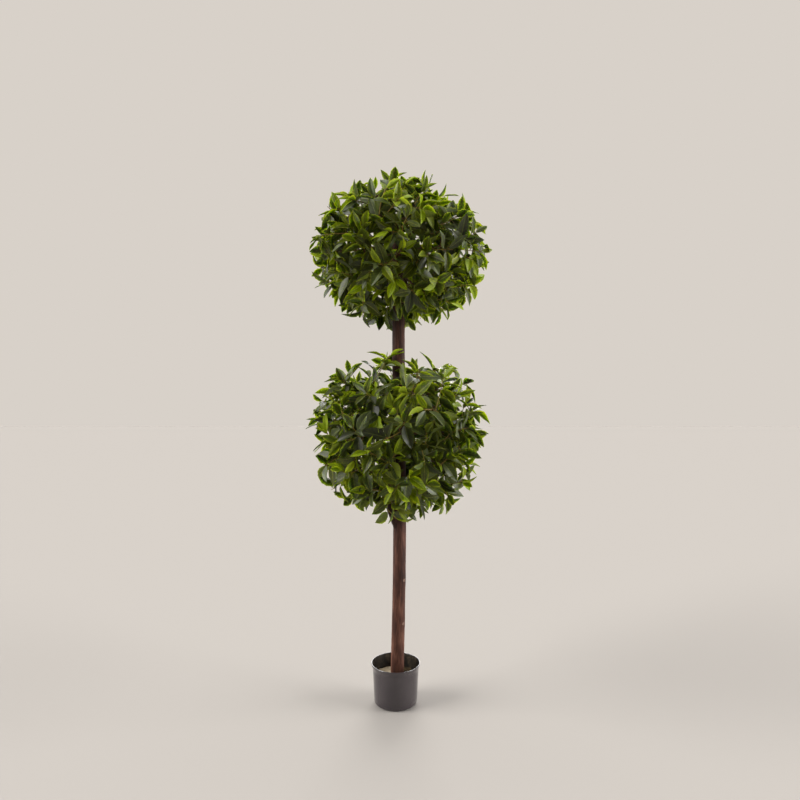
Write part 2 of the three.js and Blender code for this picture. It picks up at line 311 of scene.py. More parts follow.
class Heap:
    """The points, faces, material numbers and leaf veins of one piece, gathered before its mesh is made."""

    def __init__(self, name, materials):
        self.name = name
        self.materials = materials
        self.points = []
        self.faces = []
        self.slots = []
        self.veins = []
        self.count = 0

    def add(self, points, faces, slots, veins=()):
        self.points.append(np.asarray(points, float))
        self.faces.extend([tuple(i + self.count for i in face) for face in faces])
        self.slots.extend([slots] * len(faces) if isinstance(slots, int) else slots)
        self.veins.extend(veins)
        self.count += len(points)

    def build(self, node, slot):
        mesh = bpy.data.meshes.new(self.name)
        mesh.from_pydata(np.concatenate(self.points).tolist(), [], self.faces)
        for material in self.materials:
            mesh.materials.append(material)
        mesh.polygons.foreach_set("material_index", self.slots)
        mesh.polygons.foreach_set("use_smooth", [True] * len(self.faces))
        mesh.update()
        mesh.set_sharp_from_angle(angle=math.radians(CREASE))
        if self.veins:
            mesh.attributes.new("vein", "FLOAT", "POINT").data.foreach_set("value", self.veins)
        piece = bpy.data.objects.new(self.name, mesh)
        bpy.context.scene.collection.objects.link(piece)
        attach(piece, "root")
        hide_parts(node)


def even_line(points, count):
    """Points spaced evenly along the smooth curve through the given ones, and its directions there."""
    line = [np.array(p, float) for p in points]
    line = [2 * line[0] - line[1], *line, 2 * line[-1] - line[-2]]
    dense = []
    for p0, p1, p2, p3 in zip(line, line[1:], line[2:], line[3:]):
        d0, d1, d2 = (max(np.linalg.norm(b - a) ** 0.5, 1e-6) for a, b in ((p0, p1), (p1, p2), (p2, p3)))
        start = ((p1 - p0) / d0 - (p2 - p0) / (d0 + d1) + (p2 - p1) / d1) * d1
        end = ((p2 - p1) / d1 - (p3 - p1) / (d1 + d2) + (p3 - p2) / d2) * d1
        t = np.linspace(0, 1, 60)[:, None]
        dense.append(
            (2 * t**3 - 3 * t**2 + 1) * p1 + (t**3 - 2 * t**2 + t) * start
            + (-2 * t**3 + 3 * t**2) * p2 + (t**3 - t**2) * end
        )
    dense = np.concatenate(dense)
    far = np.concatenate([[0], np.cumsum(np.linalg.norm(np.diff(dense, axis=0), axis=1))])
    at = np.linspace(0, far[-1], count)
    even = np.stack([np.interp(at, far, dense[:, k]) for k in range(3)], axis=1)
    along = np.gradient(even, axis=0)
    return even, along / np.linalg.norm(along, axis=1)[:, None]


def tube_faces(rings, sides):
    faces = []
    for ring in range(rings - 1):
        for side in range(sides):
            a = ring * sides + side
            b = ring * sides + (side + 1) % sides
            faces.append((a, b, b + sides, a + sides))
    return faces


def closed_tube(rings, sides):
    """The faces of a tube with a flat face on each end, looking outwards from rings that run clockwise."""
    first = tuple(range(sides))
    last = tuple((rings - 1) * sides + k for k in reversed(range(sides)))
    return [*(face[::-1] for face in tube_faces(rings, sides)), first, last]


def tube_points(line, along, radii, across):
    """Rings of points round a line, from one radius for each point, each starting on the side of across."""
    side = across - along * (along @ across)[:, None]
    side /= np.linalg.norm(side, axis=1)[:, None]
    back = np.cross(side, along)
    sides = radii.shape[1]
    angle = np.arange(sides) * 2 * math.pi / sides
    points = (
        line[:, None, :]
        + side[:, None, :] * (radii * np.cos(angle))[..., None]
        + back[:, None, :] * (radii * np.sin(angle))[..., None]
    )
    return points.reshape(-1, 3)


def turned_faces(rings, sides):
    """The faces of rings of points between two end points, the first and the last in the list."""
    last = 1 + rings * sides
    inner = [tuple(1 + i for i in face) for face in tube_faces(rings, sides)]
    first_fan = [(0, 1 + (k + 1) % sides, 1 + k) for k in range(sides)]
    last_fan = [(last - sides + k, last - sides + (k + 1) % sides, last) for k in range(sides)]
    return [*first_fan, *inner, *last_fan]


def turned_mesh(heap, profile, sides, inside_from):
    """A solid of revolution from (radius, height) points, with the second material from one point on."""
    angle = np.arange(sides) * 2 * math.pi / sides
    points = [(0.0, 0.0, profile[0][1])]
    for radius, height in profile[1:-1]:
        points += [(radius * math.cos(a), radius * math.sin(a), height) for a in angle]
    points.append((0.0, 0.0, profile[-1][1]))
    faces = turned_faces(len(profile) - 2, sides)
    heap.add(points, faces, [int(i // sides >= inside_from) for i in range(len(faces))])


# Materials


def plain_material(name, colour, roughness, specular=0.5):
    """A Principled material with the same colour all over, and its node tree."""
    material = bpy.data.materials.new(name)
    material.use_nodes = True
    shader = material.node_tree.nodes["Principled BSDF"]
    shader.inputs["Base Color"].default_value = (*colour, 1)
    shader.inputs["Roughness"].default_value = roughness
    shader.inputs["Specular IOR Level"].default_value = specular
    return material, material.node_tree, shader


def place_node(tree, scale):
    """Object coordinates stretched by a scale for each axis."""
    coordinates = tree.nodes.new("ShaderNodeTexCoord")
    mapping = tree.nodes.new("ShaderNodeMapping")
    mapping.inputs["Scale"].default_value = scale
    tree.links.new(coordinates.outputs["Object"], mapping.inputs["Vector"])
    return mapping.outputs["Vector"]


def noise_node(tree, vector, scale, detail=4.0, roughness=0.55, distortion=0.0):
    texture = tree.nodes.new("ShaderNodeTexNoise")
    texture.inputs["Scale"].default_value = scale
    texture.inputs["Detail"].default_value = detail
    texture.inputs["Roughness"].default_value = roughness
    texture.inputs["Distortion"].default_value = distortion
    tree.links.new(vector, texture.inputs["Vector"])
    return texture.outputs["Fac"]


def ramp_node(tree, factor, stops):
    """A colour ramp from (position, colour) stops."""
    ramp = tree.nodes.new("ShaderNodeValToRGB")
    elements = ramp.color_ramp.elements
    while len(elements) < len(stops):
        elements.new(0.5)
    for element, (position, colour) in zip(elements, stops):
        element.position = position
        element.color = (*colour, 1)
    tree.links.new(factor, ramp.inputs["Fac"])
    return ramp.outputs["Color"]


def range_node(tree, factor, low, high, to_low, to_high):
    ranged = tree.nodes.new("ShaderNodeMapRange")
    ranged.inputs["From Min"].default_value = low
    ranged.inputs["From Max"].default_value = high
    ranged.inputs["To Min"].default_value = to_low
    ranged.inputs["To Max"].default_value = to_high
    tree.links.new(factor, ranged.inputs["Value"])
    return ranged.outputs["Result"]


def add_node(tree, first, second):
    total = tree.nodes.new("ShaderNodeMath")
    total.operation = "ADD"
    tree.links.new(first, total.inputs[0])
    tree.links.new(second, total.inputs[1])
    return total.outputs["Value"]


def add_bump(tree, shader, height, strength, distance):
    bump = tree.nodes.new("ShaderNodeBump")
    bump.inputs["Strength"].default_value = strength
    bump.inputs["Distance"].default_value = distance
    tree.links.new(height, bump.inputs["Height"])
    tree.links.new(bump.outputs["Normal"], shader.inputs["Normal"])


def pot_material():
    """Dark grey moulded plastic with a soft gloss and faint scuffs."""
    material, tree, shader = plain_material("pot_plastic", paint(58, 54, 57), 0.27)
    shader.inputs["Coat Weight"].default_value = 0.5
    shader.inputs["Coat Roughness"].default_value = 0.14
    where = place_node(tree, (1, 1, 1))
    cloud = noise_node(tree, where, 16, 5)
    colour = ramp_node(tree, cloud, [(0.35, paint(56, 49, 53)), (0.65, paint(61, 54, 57))])
    tree.links.new(colour, shader.inputs["Base Color"])
    scuff = noise_node(tree, where, 65, 6)
    tree.links.new(range_node(tree, scuff, 0.35, 0.75, 0.20, 0.27), shader.inputs["Roughness"])
    add_bump(tree, shader, noise_node(tree, where, 90, 2), 0.02, 0.0004)
    return material


def pot_inside_material():
    """The pot's inner wall: matte, mottled brown-black to pale brown, darker than the outer plastic as painted
    shade in the pot's hollow.
    """
    material, tree, shader = plain_material("pot_inside", paint(50, 44, 36), 0.8, 0.2)
    where = place_node(tree, (1, 1, 1))
    mottle_and_shade = noise_node(tree, where, 60, 6, 0.65, 0.6)
    # Brown mottling whose stops are darker than the outer plastic: painted shade of the hollow.
    stops = [(0.36, paint(22, 18, 12)), (0.54, paint(42, 35, 25)), (0.68, paint(74, 63, 48))]
    tree.links.new(ramp_node(tree, mottle_and_shade, stops), shader.inputs["Base Color"])
    add_bump(tree, shader, noise_node(tree, where, 240, 5), 0.25, 0.0006)
    return material


def plaster_material(name, stops):
    """Set plaster: a rough chalky ground with blotches of stain and small pits."""
    material, tree, shader = plain_material(name, stops[0][1], 0.9, 0.25)
    where = place_node(tree, (1, 1, 1))
    blotch = noise_node(tree, where, 62, 7, 0.68, 0.2)
    tree.links.new(ramp_node(tree, blotch, stops), shader.inputs["Base Color"])
    add_bump(tree, shader, noise_node(tree, where, 260, 6, 0.6), 0.5, 0.0012)
    return material


def near_node(tree, where, place, reach):
    """1 at a place and 0 beyond a reach from it, with a soft ragged edge."""
    gap = tree.nodes.new("ShaderNodeVectorMath")
    gap.operation = "DISTANCE"
    gap.inputs[1].default_value = place
    tree.links.new(where, gap.inputs[0])
    ragged = range_node(tree, noise_node(tree, where, 420, 3), 0, 1, -0.35 * reach, 0.35 * reach)
    return range_node(tree, add_node(tree, gap.outputs["Value"], ragged), 0.7 * reach, reach, 1, 0)


def knot_place(line, knot_height, turn):
    """The middle of a knot on the trunk's surface."""
    ring = int(np.argmin(np.abs(line[:, 2] - knot_height)))
    radius = trunk_radius(ring / (len(line) - 1), knot_height, -math.radians(turn))
    x, y, _ = line[ring]
    return x + radius * math.cos(math.radians(turn)), y + radius * math.sin(math.radians(turn)), knot_height


def scarred(tree, bark, knots):
    """The bark's colour with pale healed wood at each knot's place."""
    where = place_node(tree, (1, 1, 1))
    stops = [(0.35, paint(96, 70, 58)), (0.65, paint(150, 122, 106))]
    healed = ramp_node(tree, noise_node(tree, where, 500, 4), stops)
    for place in knots:
        either = tree.nodes.new("ShaderNodeMixRGB")
        tree.links.new(near_node(tree, where, place, KNOT_SCAR), either.inputs["Fac"])
        tree.links.new(bark, either.inputs["Color1"])
        tree.links.new(healed, either.inputs["Color2"])
        bark = either.outputs["Color"]
    return bark


def bark_material(name, painted_shade, knots):
    """Red-brown bark with fine upright streaks over broad patches, paler near the foot and at its knots, and
    darker by any painted shade.
    """
    material, tree, shader = plain_material(name, paint(84, 56, 45), 0.7, 0.22)
    streak = noise_node(tree, place_node(tree, (330, 330, 24)), 1.0, 6, 0.68, 0.3)
    patch = noise_node(tree, place_node(tree, (46, 46, 11)), 1.0, 3, 0.5)
    parts = tree.nodes.new("ShaderNodeSeparateXYZ")
    tree.links.new(place_node(tree, (1, 1, 1)), parts.inputs["Vector"])
    pale = range_node(tree, parts.outputs["Z"], 0.12, 0.45, 0.17, 0.0)
    # A negative painted_shade lowers the ground tone: painted shade.
    ground = add_node(tree, range_node(tree, patch, 0.3, 0.7, 0.03 + painted_shade, 0.28 + painted_shade), pale)
    mixed = add_node(tree, range_node(tree, streak, 0, 1, 0, 0.62), ground)
    stops = [
        (0.30, paint(32, 20, 16)),
        (0.44, paint(56, 34, 27)),
        (0.56, paint(82, 51, 40)),
        (0.74, paint(124, 84, 68)),
    ]
    colour = ramp_node(tree, mixed, stops)
    if knots:
        colour = scarred(tree, colour, knots)
    tree.links.new(colour, shader.inputs["Base Color"])
    grain = noise_node(tree, place_node(tree, (420, 420, 60)), 1.0, 5, 0.6)
    tree.links.new(range_node(tree, grain, 0.3, 0.7, 0.58, 0.78), shader.inputs["Roughness"])
    add_bump(tree, shader, grain, 0.5, 0.0007)
    return material


def vein_node(tree):
    """Stripes along a leaf's side veins, from 1 on a vein to -1 between two."""
    place = tree.nodes.new("ShaderNodeAttribute")
    place.attribute_name = "vein"
    stripes = tree.nodes.new("ShaderNodeMath")
    stripes.operation = "SINE"
    tree.links.new(place.outputs["Fac"], stripes.inputs[0])
    return stripes.outputs["Value"]


def leaf_material(name, low, high, roughness, specular):
    """One leaf colour, a little uneven and paler at its side veins, with a fine grain and a waxy sheen."""
    material, tree, shader = plain_material(name, high, roughness, specular)
    shader.inputs["Subsurface Weight"].default_value = 0.38
    shader.inputs["Subsurface Radius"].default_value = (0.75, 1.0, 0.12)
    shader.inputs["Subsurface Scale"].default_value = 0.002
    where = place_node(tree, (1, 1, 1))
    mottle = noise_node(tree, where, 55, 3)
    mixed = add_node(tree, mottle, range_node(tree, vein_node(tree), 0.2, 1, -0.05, 0.17))
    tree.links.new(ramp_node(tree, mixed, [(0.35, low), (0.65, high)]), shader.inputs["Base Color"])
    add_bump(tree, shader, noise_node(tree, where, 900, 2), 0.12, 0.0003)
    return material


def uneven(colour):
    """A darker and a lighter tone of one colour."""
    return tuple(c * 0.84 for c in colour), tuple(c * 1.16 for c in colour)


def leaf_materials(name, ball, painted_shade):
    """The three materials of one kind of leaf in a ball: upper face, midrib and underside, darkened by the
    ball's painted shade.
    """
    colours = [paint(*shown) for shown in LEAF_COLOURS[name]]
    # Every colour is scaled by the ball's painted shade.
    low, high, rib, under = (tuple(c * painted_shade for c in colour) for colour in colours)
    return [
        leaf_material(f"{ball}_leaf_{name}", low, high, LEAF_ROUGHNESS, LEAF_GLOSS[name]),
        leaf_material(f"{ball}_rib_{name}", *uneven(rib), 0.5, 0.3),
        leaf_material(f"{ball}_under_{name}", *uneven(under), 0.6, 0.2),
    ]


def young_wood_material():
    """Yellow-brown young wood of the shoots and leaf stalks."""
    material, tree, shader = plain_material("twig_bark", (0.17, 0.12, 0.04), 0.6, 0.4)
    mottle = noise_node(tree, place_node(tree, (1, 1, 1)), 120, 4)
    stops = [(0.35, paint(96, 74, 30)), (0.65, paint(142, 120, 48))]
    tree.links.new(ramp_node(tree, mottle, stops), shader.inputs["Base Color"])
    return material


def old_wood_material():
    """Red-brown bark of the branches and twigs inside the balls."""
    material, tree, shader = plain_material("stem_bark", (0.09, 0.035, 0.025), 0.65, 0.4)
    mottle = noise_node(tree, place_node(tree, (1, 1, 0.4)), 90, 4)
    stops = [(0.35, paint(56, 34, 24)), (0.65, paint(98, 62, 44))]
    tree.links.new(ramp_node(tree, mottle, stops), shader.inputs["Base Color"])
    return material


# Pot and plaster


def pot_wall(height):
    """Outside radius of the wall at a height below the collar."""
    share = min(height / (POT_HEIGHT - POT_COLLAR), 1)
    return lerp(POT_FOOT_RADIUS, POT_COLLAR_RADIUS - 0.001, share)


def pot_profile():
    """The pot's outline as (radius, height): from the middle of its underside to its lip, then on inside."""
    outside = [(0.0, 0.0), (0.03, 0.0), (pot_wall(0) - POT_FOOT_ROUND, 0.0)]
    for degrees in range(15, 91, 15):
        a = math.radians(degrees)
        height = POT_FOOT_ROUND * (1 - math.cos(a))
        outside.append((pot_wall(height) - POT_FOOT_ROUND * (1 - math.sin(a)), height))
    above = POT_STEP + 0.0017
    outside += [(pot_wall(POT_STEP) - 0.0005, POT_STEP), (pot_wall(0.012), above)]
    collar = POT_HEIGHT - POT_COLLAR
    for share in (0.1, 0.3, 0.5, 0.7, 0.9):
        height = lerp(above, collar, share)
        outside.append((pot_wall(height), height))
    outside += [(pot_wall(collar), collar - 0.0006), (pot_wall(collar) + 0.0006, collar + 0.0006)]
    outside.append((POT_COLLAR_RADIUS, collar + 0.002))
    outside.append((lerp(POT_COLLAR_RADIUS, POT_RIM_RADIUS, 0.5), collar + 0.0065))
    outside += [(POT_RIM_RADIUS - 0.0004, POT_HEIGHT - 0.0028), (POT_RIM_RADIUS, POT_HEIGHT - 0.0018)]
    outside += [(POT_RIM_RADIUS - 0.0003, POT_HEIGHT - 0.0005), (POT_RIM_RADIUS - 0.0011, POT_HEIGHT)]
    inner = POT_RIM_RADIUS - POT_WALL
    outside.append((inner + 0.0006, POT_HEIGHT - 0.0002))
    inside = [(inner, POT_HEIGHT - 0.001), (pot_wall(collar) - POT_WALL, collar)]
    inside += [(pot_wall(0.01) - POT_WALL, 0.01), (pot_wall(0) - 0.012, POT_FLOOR), (0.0, POT_FLOOR)]
    return outside, inside


def make_pot():
    """The pot with a rounded foot, a shallow step above it, a flared collar and a rolled lip."""
    outside, inside = pot_profile()
    heap = Heap("pot_shell", [pot_material(), pot_inside_material()])
    turned_mesh(heap, outside + inside, POT_TURNS, len(outside))
    heap.build("pot", "pot")


def plaster_height(x, y):
    """The uneven top of the plaster: shallow swells with a fine roughness."""
    swell = 0.00096 * math.sin(3 * math.atan2(y, x) + math.hypot(x, y) / 0.009)
    rough = 0.0012 * noise.fractal(Vector((x * 60, y * 60, 0.3)), 1.0, 2.0, 4)
    return FILL_TOP + swell + rough


def stain_and_shadow_reach(x, y):
    """Whether the brown on the right reaches a place on the plaster: a stain, with painted shadow of the trunk
    and the pot wall.
    """
    return x > 0.012 + 0.01 * noise.noise(Vector((x * 40, y * 40, 7.0)))


def plaster_materials():
    """Pale plaster, and plaster stained brown with painted shadow."""
    pale = [(0.36, (0.44, 0.33, 0.19)), (0.5, (0.60, 0.49, 0.33)), (0.7, (0.70, 0.60, 0.44))]
    # Brown stain, darkened to near black as painted shadow of the trunk and the pot wall.
    brown = [(0.34, (0.025, 0.017, 0.009)), (0.52, (0.10, 0.067, 0.030)), (0.70, (0.27, 0.19, 0.095))]
    return [plaster_material("plaster_pale", pale), plaster_material("plaster_stained_and_shaded", brown)]


def make_plaster():
    """Plaster that fills the lower pot: pale on the left, and brown on the right and at the wall, a stain
    darkened as painted shadow of the trunk and the pot wall.
    """
    top_rings, wall_rings, sides = 34, 4, 120
    wall = pot_wall(FILL_TOP) - POT_WALL - PLASTER_GAP
    foot = pot_wall(PLASTER_FOOT) - POT_WALL - PLASTER_GAP
    floor = POT_FLOOR + PLASTER_GAP
    outline = [(0.9 * foot, floor), (foot, PLASTER_FOOT)]
    outline += [(wall * ring / top_rings, None) for ring in range(top_rings, 0, -1)]
    points = [(0.0, 0.0, floor)]
    slots = [1] * sides
    for ring, (radius, height) in enumerate(outline):
        for k in range(sides):
            a = 2 * math.pi * k / sides
            x, y = radius * math.cos(a), radius * math.sin(a)
            points.append((x, y, plaster_height(x, y) if height is None else height))
            # Stained plaster with painted shadow at the wall and on the right.
            slots.append(int(ring < wall_rings or stain_and_shadow_reach(x, y)))
    points.append((0.0, 0.0, plaster_height(0.0, 0.0)))
    heap = Heap("plaster_plug", plaster_materials())
    heap.add(points, turned_faces(len(outline), sides), slots)
    heap.build("plaster_fill", "plaster")


# Trunk and bough


def knot_turn(angle, turn):
    """How far an angle is from a knot's, in radians."""
    return math.remainder(angle + math.radians(turn), 2 * math.pi)


def trunk_radius(share, height, angle):
    """The solids' taper, ridges and knots."""
    radius = lerp(TRUNK_FOOT_RADIUS, TRUNK_TIP_RADIUS, share)
    radius *= 1 + RIDGE_HEIGHT * math.sin(RIDGES * angle + RIDGE_TURNS * share * 2 * math.pi)
    for knot_height, turn, swell in KNOTS:
        up = (height - knot_height) / KNOT_LENGTH
        round_it = knot_turn(angle, turn) / math.radians(KNOT_WIDTH)
        radius *= 1 + swell * math.exp(-up * up - round_it * round_it)
    return radius


def bark_relief(x, y, z, grain):
    """Long upright furrows with a finer crackle, in metres."""
    furrow = noise.fractal(Vector((x * grain, y * grain, z * 16)), 1.0, 2.1, 4)
    crackle = noise.noise(Vector((x * 420, y * 420, z * 110)))
    return 0.0004 * furrow + 0.0002 * crackle


def knot_pit(height, angle):
    """How deep a point lies in the pit at the middle of a knot, which has a slightly raised rim."""
    for knot_height, turn, _ in KNOTS:
        up = height - knot_height
        round_it = knot_turn(angle, turn) * TRUNK_FOOT_RADIUS
        away = math.hypot(up, round_it) / KNOT_SCAR
        if away < 1:
            return KNOT_PIT * math.exp(-((away / 0.45) ** 2)) - KNOT_RIM * math.sin(math.pi * away)
    return 0.0


def limb_radii(line, sides, radius_at):
    """The radius of each point of a limb, by its share of the length, its height and its angle."""
    radii = np.zeros((len(line), sides))
    for ring, (_, _, height) in enumerate(line):
        share = ring / (len(line) - 1)
        for k in range(sides):
            radii[ring, k] = radius_at(share, height, 2 * math.pi * k / sides)
    return radii


def trunk_bark_radius(share, height, angle):
    radius = trunk_radius(share, height, angle)
    x, y = radius * math.cos(angle), radius * math.sin(angle)
    return radius + bark_relief(x, y, height, TRUNK_GRAIN) - knot_pit(height, angle)


def bough_bark_radius(share, height, angle):
    radius = lerp(BOUGH_ROOT_RADIUS, BOUGH_TIP_RADIUS, share)
    x, y = radius * math.cos(angle), radius * math.sin(angle)
    return radius + BOUGH_FURROWS * bark_relief(x, y, height, BOUGH_GRAIN)


def make_limb(node, name, line, along, radii, material):
    """A limb's bark along its line, closed at both ends."""
    heap = Heap(name, [material])
    heap.add(tube_points(line, along, radii, TO_THE_RIGHT), closed_tube(*radii.shape), 0)
    heap.build(node, "bark")


def make_trunk():
    """The bare trunk with its ridges, furrows and knots. Gives its line."""
    line, along = even_line(TRUNK_LINE, TRUNK_RINGS)
    radii = limb_radii(line, TRUNK_SIDES, trunk_bark_radius)
    knots = [knot_place(line, knot_height, turn) for knot_height, turn, _ in KNOTS]
    make_limb("trunk", "trunk_bark", line, along, radii, bark_material("bark", 0.0, knots))
    return line


def make_bough():
    """The short limb that leaves the trunk under the lower ball."""
    line, along = even_line(BOUGH_LINE, BOUGH_RINGS)
    radii = limb_radii(line, BOUGH_SIDES, bough_bark_radius)
    # The bough's bark is darker than the trunk's: painted shade under the lower ball.
    make_limb("fork_bough", "fork_bark", line, along, radii, bark_material("bough_bark", -0.08, []))


# Leaves, twigs and balls


def leaf_half_width(share, root, tip):
    """Half the width at a share of the length. Larger root and tip make those ends more slender."""
    widest = root / (root + tip)
    most = widest**root * (1 - widest) ** tip
    return 0.5 * share**root * (1 - share) ** tip / most


def vein_phase(t, across):
    """How many radians of side veins come before a place on a leaf. They slant towards its tip."""
    return 2 * math.pi * SIDE_VEINS * (t - VEIN_SLANT * abs(across))


def leaf_form(rng):
    """A closed leaf of unit length with its own bend and fold: points, faces, material numbers, veins."""
    bend = rng.uniform(0.03, 0.34)
    fold = rng.uniform(0.08, 0.33)
    sway = rng.uniform(-0.05, 0.05)
    wave = rng.uniform(0.010, 0.028)
    phase = rng.uniform(0, 6.28)
    twist = rng.uniform(-0.4, 0.4)
    curl = rng.uniform(-0.5, 0.7)
    slender = rng.uniform(0.68, 0.86), rng.uniform(0.98, 1.22)
    ratio = LEAF_WIDTH / LEAF_LENGTH

    def place(t, across, rise):
        """A point of the upper face, which rises and falls along its length and sinks at the midrib."""
        half = leaf_half_width(t, *slender) * ratio * (1 + LEAF_SWELL * rise)
        y = half * across
        waves = wave * math.sin(phase + RUFFLE * t + (RUFFLE_LAG if across > 0 else 0)) * across**2
        relief = LEAF_RELIEF * rise * (0.2 < abs(across) < 0.9) - LEAF_RELIEF * (abs(across) < 0.2)
        z = fold * abs(y) + curl * y * y / ratio + twist * y * t - bend * t * t
        z += (waves + relief) * math.sin(math.pi * t)
        return t + LEAF_SWEEP * abs(across) * math.sin(math.pi * t), sway * math.sin(math.pi * t) + y, z

    points = [(0.0, 0.0, 0.0)]
    veins = [0.0]
    for i, t in enumerate(LEAF_STATIONS):
        rise = 1 if i % 2 else -1
        veins += [vein_phase(t, across) for across in (*LEAF_UPPER, *LEAF_UNDER)]
        points += [place(t, across, rise) for across in LEAF_UPPER]
        for across in LEAF_UNDER:
            x, y, z = place(t, across, rise)
            points.append((x, y, z - (LEAF_BLADE if abs(across) > 0.2 else LEAF_RIB)))
    points.append((1.0, 0.0, -bend))
    veins.append(vein_phase(1, 0))
    return np.array(points), *leaf_faces(len(points) - 1), veins


def leaf_faces(tip):
    """Triangles of a leaf and their material numbers. Both sides split alike, so that they nowhere cross."""
    upper_strips = len(LEAF_UPPER) - 1
    faces = []
    slots = []
    for k in range(LEAF_RING):
        after = (k + 1) % LEAF_RING
        strip = [(0, 1 + after, 1 + k), (tip - LEAF_RING + k, tip - LEAF_RING + after, tip)]
        for station in range(len(LEAF_STATIONS) - 1):
            a, b = 1 + station * LEAF_RING + k, 1 + station * LEAF_RING + after
            c, d = b + LEAF_RING, a + LEAF_RING
            strip += [(a, b, c), (a, c, d)] if k < upper_strips else [(a, b, d), (b, c, d)]
        faces += strip
        slots += [2 if k >= upper_strips else 1 if k == upper_strips // 2 else 0] * len(strip)
    return faces, slots


def unit(vector):
    return vector / np.linalg.norm(vector)


def spread_directions(count, spin):
    """Directions spread evenly over a ball."""
    directions = []
    for i in range(count):
        up = 1 - (2 * i + 1) / count
        turn = math.radians(spin + i * GOLDEN_TURN)
        level = math.sqrt(1 - up * up)
        directions.append(np.array((level * math.cos(turn), level * math.sin(turn), up)))
    return directions


def far_from_bough(p, margin):
    for start, end in zip(BOUGH_LINE, BOUGH_LINE[1:]):
        a, b = np.array(start), np.array(end)
        share = np.clip(np.dot(p - a, b - a) / np.dot(b - a, b - a), 0, 1)
        if np.linalg.norm(p - a - (b - a) * share) < BOUGH_ROOT_RADIUS + margin:
            return False
    return True


def far_from_trunk(p, trunk_line, margin):
    near = trunk_line[np.argmin(np.abs(trunk_line[:, 2] - p[2]))]
    above = p[2] >= trunk_line[-1][2]
    return above or np.linalg.norm(p[:2] - near[:2]) >= TRUNK_FOOT_RADIUS + margin


def clear_of_limbs(points, trunk_line, margin):
    """Whether all points keep away from the trunk and the bough."""
    return all(far_from_trunk(p, trunk_line, margin) and far_from_bough(p, margin) for p in points)


def stem_points(start, end, bow, count):
    """A stem's line, bowed a little sideways."""
    t = np.linspace(0, 1, count)[:, None]
    return start * (1 - t) + end * t + bow * (4 * t * (1 - t))


def add_stem(heap, kind, line):
    """A stem of one kind along a line, which tapers from its root to its tip."""
    stem = STEMS[kind]
    along = np.gradient(line, axis=0)
    along /= np.linalg.norm(along, axis=1)[:, None]
    radii = np.repeat(np.linspace(*stem["radii"], len(line))[:, None], stem["sides"], axis=1)
    across = UPWARD if abs(along[0][2]) < 0.9 else TO_THE_RIGHT
    heap.add(tube_points(line, along, radii, across), closed_tube(*radii.shape), stem["wood"])


